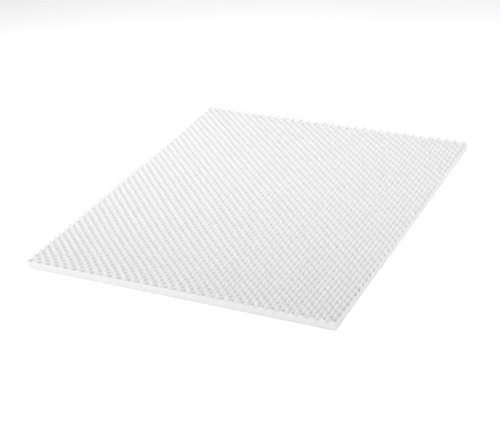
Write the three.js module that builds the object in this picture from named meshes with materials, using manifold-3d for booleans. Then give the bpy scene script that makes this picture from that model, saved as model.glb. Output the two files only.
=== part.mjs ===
// A convoluted ("egg crate") foam mattress topper lying flat: one slab of polyurethane foam.
//
// Its top is split from the foam block by a profile cut, which leaves rows of bumps with dips between
// them, each row half a pitch out of step with the next. The cut sheet is then trimmed to the bed's
// size with straight knife cuts, which pass through whatever part of the pattern they meet.
//
// Millimetres, +Z up. The origin is the middle of the flat underside; X runs across the bed and Y
// along it.

import * as THREE from "three";
import { mergeVertices } from "three/addons/utils/BufferGeometryUtils.js";
import Module from "manifold-3d";

// The slab as trimmed.
const WIDTH = 1600;
const LENGTH = 2000;
const HEIGHT = 60; // underside to the tips of the bumps
const DIP_HEIGHT = 30; // underside to the bottom of the dips

// The pattern: tip to tip along a row, and tip to tip from a row to the next but one.
const PITCH_ACROSS = 49.1;
const PITCH_ALONG = 51.1;
const SKEW_DEG = 0.25; // how far the rows run off square to the trimmed edges
const SHIFT_ACROSS = 13.9; // where the bump nearest the middle has its tip
const SHIFT_ALONG = -28.9;

// The foam gives as it is cut. The files of bumps bow sideways by this much at both ends, and at the
// front end the rows crowd together: the first is pushed in by so much, which fades with the reach.
const BOW = 16;
const CROWDING = 40;
const CROWDING_REACH = 300;

// The sheet before trimming is larger than the slab by this much on every side, the underside too.
const TRIM_ALLOWANCE = 60;

const FOAM_COLOUR = 0xf2f2f0;
const FOAM_ROUGHNESS = 0.95;

// The untrimmed sheet, closed below: a grid with a point on every tip and every dip. Each cell folds
// between its two dips, so every bump stands clear of the next as a four-sided point.
function profileCutSheet() {
  const stepX = PITCH_ACROSS / 2;
  const stepY = PITCH_ALONG / 2;
  const halfColumns = Math.ceil((WIDTH / 2 + TRIM_ALLOWANCE) / stepX);
  const halfRows = Math.ceil((LENGTH / 2 + TRIM_ALLOWANCE) / stepY);
  const columns = 2 * halfColumns + 1;
  const rows = 2 * halfRows + 1;
  const isTip = (i, j) => (i + j + halfColumns + halfRows) % 2 === 0;

  const points = [];
  for (let j = 0; j < rows; j++) {
    for (let i = 0; i < columns; i++) {
      const x = (i - halfColumns) * stepX;
      const y = (j - halfRows) * stepY;
      const bow = -BOW * (y / (LENGTH / 2)) ** 2;
      const crowding = CROWDING * Math.exp(-(((y + LENGTH / 2) / CROWDING_REACH) ** 2));
      points.push(x + bow, y + crowding, isTip(i, j) ? HEIGHT : DIP_HEIGHT);
    }
  }

  const at = (i, j) => j * columns + i;
  const faces = [];
  for (let j = 0; j < rows - 1; j++) {
    for (let i = 0; i < columns - 1; i++) {
      const [a, b, c, d] = [at(i, j), at(i + 1, j), at(i + 1, j + 1), at(i, j + 1)];
      if (isTip(i, j)) faces.push(a, b, d, b, c, d);
      else faces.push(a, b, c, a, c, d);
    }
  }

  // The rim, counter-clockwise from above, then straight walls down from it and a flat bottom.
  const rim = [];
  for (let i = 0; i < columns - 1; i++) rim.push(at(i, 0));
  for (let j = 0; j < rows - 1; j++) rim.push(at(columns - 1, j));
  for (let i = columns - 1; i > 0; i--) rim.push(at(i, rows - 1));
  for (let j = rows - 1; j > 0; j--) rim.push(at(0, j));
  const firstFoot = points.length / 3;
  for (const top of rim) points.push(points[3 * top], points[3 * top + 1], -TRIM_ALLOWANCE);
  const middle = points.length / 3;
  points.push(0, 0, -TRIM_ALLOWANCE);
  rim.forEach((top, k) => {
    const next = (k + 1) % rim.length;
    const [foot, nextFoot] = [firstFoot + k, firstFoot + next];
    faces.push(top, foot, rim[next], foot, nextFoot, rim[next]);
    faces.push(foot, middle, nextFoot);
  });

  const geometry = new THREE.BufferGeometry();
  geometry.setAttribute("position", new THREE.Float32BufferAttribute(points, 3));
  geometry.setIndex(faces);
  geometry.rotateZ(THREE.MathUtils.degToRad(SKEW_DEG));
  geometry.translate(SHIFT_ACROSS, SHIFT_ALONG, 0);
  return geometry;
}

// The knife's path: everything outside this box is trimmed off.
function trimBox() {
  const box = new THREE.BoxGeometry(WIDTH, LENGTH, 2 * HEIGHT);
  box.translate(0, 0, HEIGHT);
  return box;
}

const wasm = await Module();
wasm.setup();

function toSolid(geometry) {
  geometry.deleteAttribute("normal");
  geometry.deleteAttribute("uv");
  const merged = mergeVertices(geometry);
  return new wasm.Manifold(
    new wasm.Mesh({
      numProp: 3,
      vertProperties: merged.attributes.position.array,
      triVerts: new Uint32Array(merged.index.array),
    }),
  );
}

function toGeometry(solid) {
  const mesh = solid.getMesh();
  const geometry = new THREE.BufferGeometry();
  geometry.setAttribute("position", new THREE.BufferAttribute(mesh.vertProperties, 3));
  geometry.setIndex(new THREE.BufferAttribute(mesh.triVerts, 1));
  geometry.computeVertexNormals();
  return geometry;
}

const foam = new THREE.MeshStandardMaterial({
  color: FOAM_COLOUR,
  roughness: FOAM_ROUGHNESS,
  metalness: 0,
});

const slab = new THREE.Mesh(
  toGeometry(toSolid(profileCutSheet()).intersect(toSolid(trimBox()))),
  foam,
);
slab.name = "foam_slab";

const topper = new THREE.Group();
topper.add(slab);

export default topper;
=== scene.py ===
# A convoluted ("egg crate") foam mattress topper lying flat on a pale floor, bumps up.

from math import ceil, cos, pi, radians, sin

import bpy
from mathutils import Matrix, Vector


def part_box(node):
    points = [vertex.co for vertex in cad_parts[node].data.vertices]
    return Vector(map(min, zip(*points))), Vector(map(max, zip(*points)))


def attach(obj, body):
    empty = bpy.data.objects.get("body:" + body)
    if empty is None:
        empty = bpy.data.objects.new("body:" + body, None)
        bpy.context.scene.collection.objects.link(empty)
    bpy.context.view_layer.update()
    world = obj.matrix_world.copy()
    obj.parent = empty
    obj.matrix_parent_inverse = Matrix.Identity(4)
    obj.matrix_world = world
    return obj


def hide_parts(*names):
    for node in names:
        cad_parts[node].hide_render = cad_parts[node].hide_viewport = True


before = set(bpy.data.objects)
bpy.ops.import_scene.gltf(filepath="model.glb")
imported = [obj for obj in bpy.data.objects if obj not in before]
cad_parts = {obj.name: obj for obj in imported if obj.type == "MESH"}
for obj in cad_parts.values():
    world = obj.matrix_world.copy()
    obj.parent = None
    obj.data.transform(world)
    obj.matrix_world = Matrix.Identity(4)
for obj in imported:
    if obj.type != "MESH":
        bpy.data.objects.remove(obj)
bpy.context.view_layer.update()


# The camera looks down on the slab from beyond its near corner, through a long lens, and leans a
# little to one side.

CAMERA_PLACE = Vector((2.62, -5.46, 3.09))
CAMERA_HEADING = radians(-26.32)
CAMERA_DOWN = radians(27.66)
CAMERA_LEAN = radians(-3.09)
LENS_MM = 93.69
SENSOR_MM = 36.0


def aim_camera():
    """The camera's placement as a matrix, from its right, up and back directions and its place."""
    ahead = Vector(
        (
            sin(CAMERA_HEADING) * cos(CAMERA_DOWN),
            cos(CAMERA_HEADING) * cos(CAMERA_DOWN),
            -sin(CAMERA_DOWN),
        )
    )
    level = Vector((cos(CAMERA_HEADING), -sin(CAMERA_HEADING), 0.0))
    above = level.cross(ahead)
    right = cos(CAMERA_LEAN) * level + sin(CAMERA_LEAN) * above
    up = cos(CAMERA_LEAN) * above - sin(CAMERA_LEAN) * level
    turn = Matrix((right, up, -ahead)).transposed().to_4x4()
    return Matrix.Translation(CAMERA_PLACE) @ turn


camera = bpy.data.objects.new("camera", bpy.data.cameras.new("camera"))
camera.data.sensor_width = SENSOR_MM
camera.data.lens = LENS_MM
camera.data.clip_end = 200.0
camera.matrix_world = aim_camera()
bpy.context.collection.objects.link(camera)
bpy.context.scene.camera = camera


# The foam slab: open-cell polyurethane foam. Toothed rollers squeeze the block past a knife, so the
# cut face springs back as rows of bumps and dips. Straight cuts then trim the sheet on four sides.

# Sizes are in metres. The pattern is the solid's: its pitches, its skew, its shift, its bow and its
# crowding at the front.
slab_low, slab_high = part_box("foam_slab")
WIDTH = slab_high[0] - slab_low[0]
LENGTH = slab_high[1] - slab_low[1]
TIP_HEIGHT = slab_high[2]
DIP_HEIGHT = 0.030
BUMP_SHARPNESS = 1.5  # at 1 tips and dips are alike, and above it the tips are narrower
PITCH_ACROSS = 0.0491
PITCH_ALONG = 0.0511
SKEW = radians(0.25)
SHIFT_ACROSS = 0.0139
SHIFT_ALONG = -0.0289
BOW = 0.016
CROWDING = 0.040
CROWDING_REACH = 0.300
STEPS_PER_PITCH = 8
TRIM_ALLOWANCE = 0.06
MERGE_GAP = 0.00001

# The cut isn't perfect: tips differ in height and rows wander, by this much and this often.
TIP_UNEVENNESS = 0.002
UNEVEN_PER_M = 12.0
ROW_WANDER = 0.003
WANDER_PER_M = 2.0
CUT_SEED = 7.0

# A face whose normal rises by more than this is on the bumps. Any other is on a cut wall.
STEEPEST_BUMP = 0.1
PAINTED_SHADE_CURVE = 4.0  # the higher it is, the closer the painted shade keeps to the bottom of the dips

FOAM_WHITE = (0.88, 0.88, 0.88, 1.0)
PORE_SHADE = (0.78, 0.78, 0.78, 1.0)
# Painted shade: this colour darkens the foam towards the bottom of the dips between the bumps.
PAINTED_DIP_SHADE = (0.52, 0.52, 0.52, 1.0)
FOAM_SHEEN = 0.1
PORES_PER_M = 620.0
PORE_DEPTH = 0.0005
PORE_STRENGTH = 0.5
PORE_BOTTOM = 0.05
PORE_RIM = 0.45
GRAIN_PER_M = 900.0
GRAIN_DEPTH = 0.001
GRAIN_STRENGTH = 0.4


def foam_material():
    """White foam with fine open pores. Its dips are painted darker, as painted shade between the
    bumps.
    """
    foam = bpy.data.materials.new("white_open_cell_foam")
    foam.use_nodes = True
    nodes, links = foam.node_tree.nodes, foam.node_tree.links
    surface = nodes["Principled BSDF"]
    surface.inputs["Roughness"].default_value = 1.0
    surface.inputs["Specular IOR Level"].default_value = FOAM_SHEEN

    place = nodes.new("ShaderNodeTexCoord")

    pores = nodes.new("ShaderNodeTexVoronoi")
    pores.inputs["Scale"].default_value = PORES_PER_M
    links.new(place.outputs["Object"], pores.inputs["Vector"])

    grain = nodes.new("ShaderNodeTexNoise")
    grain.inputs["Scale"].default_value = GRAIN_PER_M
    grain.inputs["Detail"].default_value = 2.0
    links.new(place.outputs["Object"], grain.inputs["Vector"])

    open_pore = nodes.new("ShaderNodeMapRange")
    open_pore.inputs["From Min"].default_value = PORE_BOTTOM
    open_pore.inputs["From Max"].default_value = PORE_RIM
    links.new(pores.outputs["Distance"], open_pore.inputs["Value"])
    tint = nodes.new("ShaderNodeMix")
    tint.data_type = "RGBA"
    tint.inputs["A"].default_value = PORE_SHADE
    tint.inputs["B"].default_value = FOAM_WHITE
    links.new(open_pore.outputs["Result"], tint.inputs["Factor"])
    # Painted shade: the stored mask darkens the dips between the bumps, standing for shade that
    # falls there.
    painted_shade = nodes.new("ShaderNodeAttribute")
    painted_shade.attribute_name = "painted_shade"
    painted_shade_mix = nodes.new("ShaderNodeMix")
    painted_shade_mix.data_type = "RGBA"
    painted_shade_mix.blend_type = "MULTIPLY"
    painted_shade_mix.inputs["B"].default_value = PAINTED_DIP_SHADE
    links.new(painted_shade.outputs["Fac"], painted_shade_mix.inputs["Factor"])
    links.new(tint.outputs["Result"], painted_shade_mix.inputs["A"])
    links.new(painted_shade_mix.outputs["Result"], surface.inputs["Base Color"])

    pore_relief = nodes.new("ShaderNodeBump")
    pore_relief.inputs["Strength"].default_value = PORE_STRENGTH
    pore_relief.inputs["Distance"].default_value = PORE_DEPTH
    links.new(pores.outputs["Distance"], pore_relief.inputs["Height"])
    grain_relief = nodes.new("ShaderNodeBump")
    grain_relief.inputs["Strength"].default_value = GRAIN_STRENGTH
    grain_relief.inputs["Distance"].default_value = GRAIN_DEPTH
    links.new(grain.outputs["Fac"], grain_relief.inputs["Height"])
    links.new(pore_relief.outputs["Normal"], grain_relief.inputs["Normal"])
    links.new(grain_relief.outputs["Normal"], surface.inputs["Normal"])
    return foam


def profile_cut_tree():
    """The profile cut and the trim: a wavy sheet, closed below, cut down to the slab's box."""
    tree = bpy.data.node_groups.new("profile_cut_foam", "GeometryNodeTree")
    for name, kind in (
        ("Width", "NodeSocketFloat"),
        ("Length", "NodeSocketFloat"),
        ("Tip height", "NodeSocketFloat"),
        ("Dip height", "NodeSocketFloat"),
        ("Bump sharpness", "NodeSocketFloat"),
        ("Pitch across", "NodeSocketFloat"),
        ("Pitch along", "NodeSocketFloat"),
        ("Pitches across", "NodeSocketInt"),
        ("Pitches along", "NodeSocketInt"),
        ("Steps per pitch", "NodeSocketInt"),
        ("Skew", "NodeSocketFloat"),
        ("Shift across", "NodeSocketFloat"),
        ("Shift along", "NodeSocketFloat"),
        ("Bow", "NodeSocketFloat"),
        ("Crowding", "NodeSocketFloat"),
        ("Crowding reach", "NodeSocketFloat"),
        ("Allowance", "NodeSocketFloat"),
        ("Tip unevenness", "NodeSocketFloat"),
        ("Row wander", "NodeSocketFloat"),
        ("Seed", "NodeSocketFloat"),
        ("Foam", "NodeSocketMaterial"),
    ):
        tree.interface.new_socket(name, in_out="INPUT", socket_type=kind)
    tree.interface.new_socket("Slab", in_out="OUTPUT", socket_type="NodeSocketGeometry")
    nodes, links = tree.nodes, tree.links
    given = nodes.new("NodeGroupInput").outputs

    def feed(source, target):
        if isinstance(source, (int, float)):
            target.default_value = source
        else:
            links.new(source, target)

    def work_out(operation, *values):
        node = nodes.new("ShaderNodeMath")
        node.operation = operation
        for value, target in zip(values, node.inputs):
            feed(value, target)
        return node.outputs[0]

    def vector(x, y, z):
        node = nodes.new("ShaderNodeCombineXYZ")
        for value, target in zip((x, y, z), node.inputs):
            feed(value, target)
        return node.outputs[0]

    def shape(kind, **inputs):
        node = nodes.new(kind)
        for name, value in inputs.items():
            feed(value, node.inputs[name.replace("_", " ")])
        return node

    def wave(distance, pitch):
        turns = work_out("DIVIDE", distance, pitch)
        return work_out("COSINE", work_out("MULTIPLY", turns, 2 * pi))

    # A flat sheet with vertices on every tip and dip, its rim drawn down below the underside.
    sheet = shape(
        "GeometryNodeMeshGrid",
        Size_X=work_out("MULTIPLY", given["Pitches across"], given["Pitch across"]),
        Size_Y=work_out("MULTIPLY", given["Pitches along"], given["Pitch along"]),
        Vertices_X=work_out("MULTIPLY_ADD", given["Pitches across"], given["Steps per pitch"], 1),
        Vertices_Y=work_out("MULTIPLY_ADD", given["Pitches along"], given["Steps per pitch"], 1),
    )
    faces_beside = nodes.new("GeometryNodeInputMeshEdgeNeighbors")
    on_rim = nodes.new("FunctionNodeCompare")
    on_rim.data_type = "INT"
    on_rim.operation = "EQUAL"
    count, one = [socket for socket in on_rim.inputs if socket.enabled]
    links.new(faces_beside.outputs["Face Count"], count)
    one.default_value = 1
    skirt = shape(
        "GeometryNodeExtrudeMesh",
        Mesh=sheet.outputs["Mesh"],
        Selection=on_rim.outputs["Result"],
        Offset=vector(0, 0, -1),
        Offset_Scale=given["Allowance"],
    )
    skirt.mode = "EDGES"
    hem = shape(
        "GeometryNodeMeshToCurve", Mesh=skirt.outputs["Mesh"], Selection=skirt.outputs["Top"]
    )
    base = shape("GeometryNodeFillCurve", Curve=hem.outputs["Curve"])
    base.mode = "NGONS"
    base_down = shape(
        "GeometryNodeTransform",
        Geometry=shape("GeometryNodeFlipFaces", Mesh=base.outputs["Mesh"]).outputs["Mesh"],
        Translation=vector(0, 0, work_out("MULTIPLY", given["Allowance"], -1)),
    )
    closed = nodes.new("GeometryNodeJoinGeometry")
    links.new(base_down.outputs["Geometry"], closed.inputs["Geometry"])
    links.new(skirt.outputs["Mesh"], closed.inputs["Geometry"])
    sealed = shape(
        "GeometryNodeMergeByDistance", Geometry=closed.outputs["Geometry"], Distance=MERGE_GAP
    )

    # The cut: bumps and dips along both directions, each row half a pitch out of step.
    where = nodes.new("GeometryNodeInputPosition")
    apart = nodes.new("ShaderNodeSeparateXYZ")
    links.new(where.outputs["Position"], apart.inputs["Vector"])
    wave_across = wave(apart.outputs["X"], given["Pitch across"])
    wave_along = wave(apart.outputs["Y"], given["Pitch along"])
    even_swell = work_out("MULTIPLY_ADD", work_out("MULTIPLY", wave_across, wave_along), 0.5, 0.5)
    swell = work_out("POWER", even_swell, given["Bump sharpness"])
    relief = work_out("SUBTRACT", given["Tip height"], given["Dip height"])
    rise = work_out("MULTIPLY_ADD", swell, relief, given["Dip height"])
    on_top = work_out("GREATER_THAN", apart.outputs["Z"], -MERGE_GAP)

    # Foam stretches a little as it is squeezed, so rows wander and tips aren't all alike.
    def stray(scale, seed_step):
        noise = nodes.new("ShaderNodeTexNoise")
        noise.noise_dimensions = "4D"
        feed(where.outputs["Position"], noise.inputs["Vector"])
        feed(work_out("ADD", given["Seed"], seed_step), noise.inputs["W"])
        noise.inputs["Scale"].default_value = scale
        noise.inputs["Detail"].default_value = 0.0
        return work_out("MULTIPLY_ADD", noise.outputs["Fac"], 2.0, -1.0)

    # Its files of bumps bow sideways towards both ends, and its rows crowd together at the front.
    half_length = work_out("MULTIPLY", given["Length"], 0.5)
    from_middle = work_out("DIVIDE", apart.outputs["Y"], half_length)
    bow = work_out("MULTIPLY", work_out("MULTIPLY", from_middle, from_middle), given["Bow"])
    from_front = work_out("ADD", apart.outputs["Y"], half_length)
    reaches = work_out("DIVIDE", from_front, given["Crowding reach"])
    fading = work_out("EXPONENT", work_out("MULTIPLY", work_out("MULTIPLY", reaches, reaches), -1))
    wander_across = work_out("MULTIPLY", stray(WANDER_PER_M, 1), given["Row wander"])
    wander_along = work_out("MULTIPLY", stray(WANDER_PER_M, 2), given["Row wander"])
    drift_across = work_out("SUBTRACT", wander_across, bow)
    drift_along = work_out("MULTIPLY_ADD", fading, given["Crowding"], wander_along)
    uneven_swell = work_out("MULTIPLY", stray(UNEVEN_PER_M, 3), swell)
    lift = work_out("MULTIPLY", uneven_swell, given["Tip unevenness"])
    cut_sheet = shape(
        "GeometryNodeSetPosition",
        Geometry=sealed.outputs["Geometry"],
        Selection=on_top,
        Offset=vector(drift_across, drift_along, work_out("ADD", rise, lift)),
    )
    laid = shape(
        "GeometryNodeTransform",
        Geometry=cut_sheet.outputs["Geometry"],
        Translation=vector(given["Shift across"], given["Shift along"], 0),
        Rotation=vector(0, 0, given["Skew"]),
    )

    # The trim, to a box as wide and long as the slab that stands on the underside.
    knife_box = shape(
        "GeometryNodeMeshCube",
        Size=vector(given["Width"], given["Length"], work_out("MULTIPLY", given["Tip height"], 2)),
    )
    knife_up = shape(
        "GeometryNodeTransform",
        Geometry=knife_box.outputs["Mesh"],
        Translation=vector(0, 0, given["Tip height"]),
    )
    trim = nodes.new("GeometryNodeMeshBoolean")
    trim.operation = "INTERSECT"
    trim.solver = "MANIFOLD"
    links.new(laid.outputs["Geometry"], trim.inputs["Mesh 2"])
    links.new(knife_up.outputs["Geometry"], trim.inputs["Mesh 2"])

    # The bumps are shaded smooth, and the straight cuts stay crisp.
    facing = nodes.new("GeometryNodeInputNormal")
    slope = nodes.new("ShaderNodeSeparateXYZ")
    links.new(facing.outputs["Normal"], slope.inputs["Vector"])
    faces_up = work_out("GREATER_THAN", slope.outputs["Z"], STEEPEST_BUMP)
    smooth = shape(
        "GeometryNodeSetShadeSmooth",
        Geometry=trim.outputs["Mesh"],
        Shade_Smooth=faces_up,
    )

    # The painted shade's mask for the material, from how deep a place lies between the bumps: 1 in a
    # dip, 0 on tips and cut walls.
    on_bumps = nodes.new("GeometryNodeFieldOnDomain")
    on_bumps.domain = "FACE"
    links.new(faces_up, on_bumps.inputs["Value"])
    below_tip = work_out("SUBTRACT", given["Tip height"], apart.outputs["Z"])
    painted_shade = work_out("POWER", work_out("DIVIDE", below_tip, relief), PAINTED_SHADE_CURVE)
    painted_shade_store = nodes.new("GeometryNodeStoreNamedAttribute")
    painted_shade_store.data_type = "FLOAT"
    painted_shade_store.domain = "CORNER"
    painted_shade_store.inputs["Name"].default_value = "painted_shade"
    links.new(smooth.outputs["Geometry"], painted_shade_store.inputs["Geometry"])
    links.new(work_out("MULTIPLY", painted_shade, on_bumps.outputs["Value"]), painted_shade_store.inputs["Value"])
    real = shape("GeometryNodeRealizeInstances", Geometry=painted_shade_store.outputs["Geometry"])
    dressed = shape(
        "GeometryNodeSetMaterial", Geometry=real.outputs["Geometry"], Material=given["Foam"]
    )
    out = nodes.new("NodeGroupOutput")
    links.new(dressed.outputs["Geometry"], out.inputs["Slab"])
    return tree


def make_slab():
    """The slab as a plain mesh object, with the tree's modifier applied and gone."""
    tree = profile_cut_tree()
    maker = bpy.data.objects.new("slab_maker", bpy.data.meshes.new("slab_maker"))
    bpy.context.collection.objects.link(maker)
    cut = maker.modifiers.new("profile_cut", "NODES")
    cut.node_group = tree
    sockets = {item.name: item.identifier for item in tree.interface.items_tree}
    for name, value in {
        "Width": WIDTH,
        "Length": LENGTH,
        "Tip height": TIP_HEIGHT,
        "Dip height": DIP_HEIGHT,
        "Bump sharpness": BUMP_SHARPNESS,
        "Pitch across": PITCH_ACROSS,
        "Pitch along": PITCH_ALONG,
        "Pitches across": 2 * ceil((WIDTH / 2 + TRIM_ALLOWANCE) / PITCH_ACROSS),
        "Pitches along": 2 * ceil((LENGTH / 2 + TRIM_ALLOWANCE) / PITCH_ALONG),
        "Steps per pitch": STEPS_PER_PITCH,
        "Skew": SKEW,
        "Shift across": SHIFT_ACROSS,
        "Shift along": SHIFT_ALONG,
        "Bow": BOW,
        "Crowding": CROWDING,
        "Crowding reach": CROWDING_REACH,
        "Allowance": TRIM_ALLOWANCE,
        "Tip unevenness": TIP_UNEVENNESS,
        "Row wander": ROW_WANDER,
        "Seed": CUT_SEED,
        "Foam": foam_material(),
    }.items():
        cut[sockets[name]] = value
    evaluated = maker.evaluated_get(bpy.context.evaluated_depsgraph_get())
    mesh = bpy.data.meshes.new_from_object(evaluated)
    mesh.name = "convoluted_foam"
    bpy.data.objects.remove(maker)
    slab = bpy.data.objects.new("convoluted_foam", mesh)
    bpy.context.collection.objects.link(slab)
    return slab


slab = make_slab()
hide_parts("foam_slab")
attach(slab, "root")


# The room: a plain white floor that glows a little, so no shadow is left on it, under soft light
# from square panels above and around the slab.

FLOOR_WIDTH = 60.0
FLOOR_WHITE = (0.9, 0.9, 0.9, 1.0)
FLOOR_GLOW = 0.34
SKY_STRENGTH = 0.22

floor_mesh = bpy.data.meshes.new("floor")
half = FLOOR_WIDTH / 2
floor_mesh.from_pydata(
    [(-half, -half, 0), (half, -half, 0), (half, half, 0), (-half, half, 0)], [], [(0, 1, 2, 3)]
)
floor = bpy.data.objects.new("floor", floor_mesh)
bpy.context.collection.objects.link(floor)
paint = bpy.data.materials.new("floor_white")
paint.use_nodes = True
coat = paint.node_tree.nodes["Principled BSDF"]
coat.inputs["Base Color"].default_value = FLOOR_WHITE
coat.inputs["Roughness"].default_value = 1.0
coat.inputs["Emission Color"].default_value = (1.0, 1.0, 1.0, 1.0)
coat.inputs["Emission Strength"].default_value = FLOOR_GLOW
floor_mesh.materials.append(paint)

world = bpy.data.worlds.new("soft_light")
world.use_nodes = True
world.node_tree.nodes["Background"].inputs["Color"].default_value = (1.0, 1.0, 1.0, 1.0)
world.node_tree.nodes["Background"].inputs["Strength"].default_value = SKY_STRENGTH
bpy.context.scene.world = world


def add_panel(name, place, width, watts):
    """A square panel of soft light, turned towards the slab."""
    panel = bpy.data.objects.new(name, bpy.data.lights.new(name, "AREA"))
    panel.data.shape = "SQUARE"
    panel.data.size = width
    panel.data.energy = watts
    panel.location = place
    panel.rotation_euler = (-Vector(place)).to_track_quat("-Z", "Y").to_euler()
    bpy.context.collection.objects.link(panel)


add_panel("panel_above", (-0.3, 0.0, 4.0), width=3.0, watts=116)
add_panel("panel_left", (-3.0, 0.0, 3.2), width=2.0, watts=36)
add_panel("panel_front_left", (-3.4, -2.4, 1.6), width=2.0, watts=24)
add_panel("panel_front", (-0.3, -5.0, 2.0), width=2.0, watts=43)
add_panel("panel_right", (4.0, 0.5, 1.8), width=2.0, watts=32)
add_panel("panel_back_right", (2.8, 3.4, 2.2), width=2.0, watts=21)

bpy.context.scene.view_settings.view_transform = "Standard"
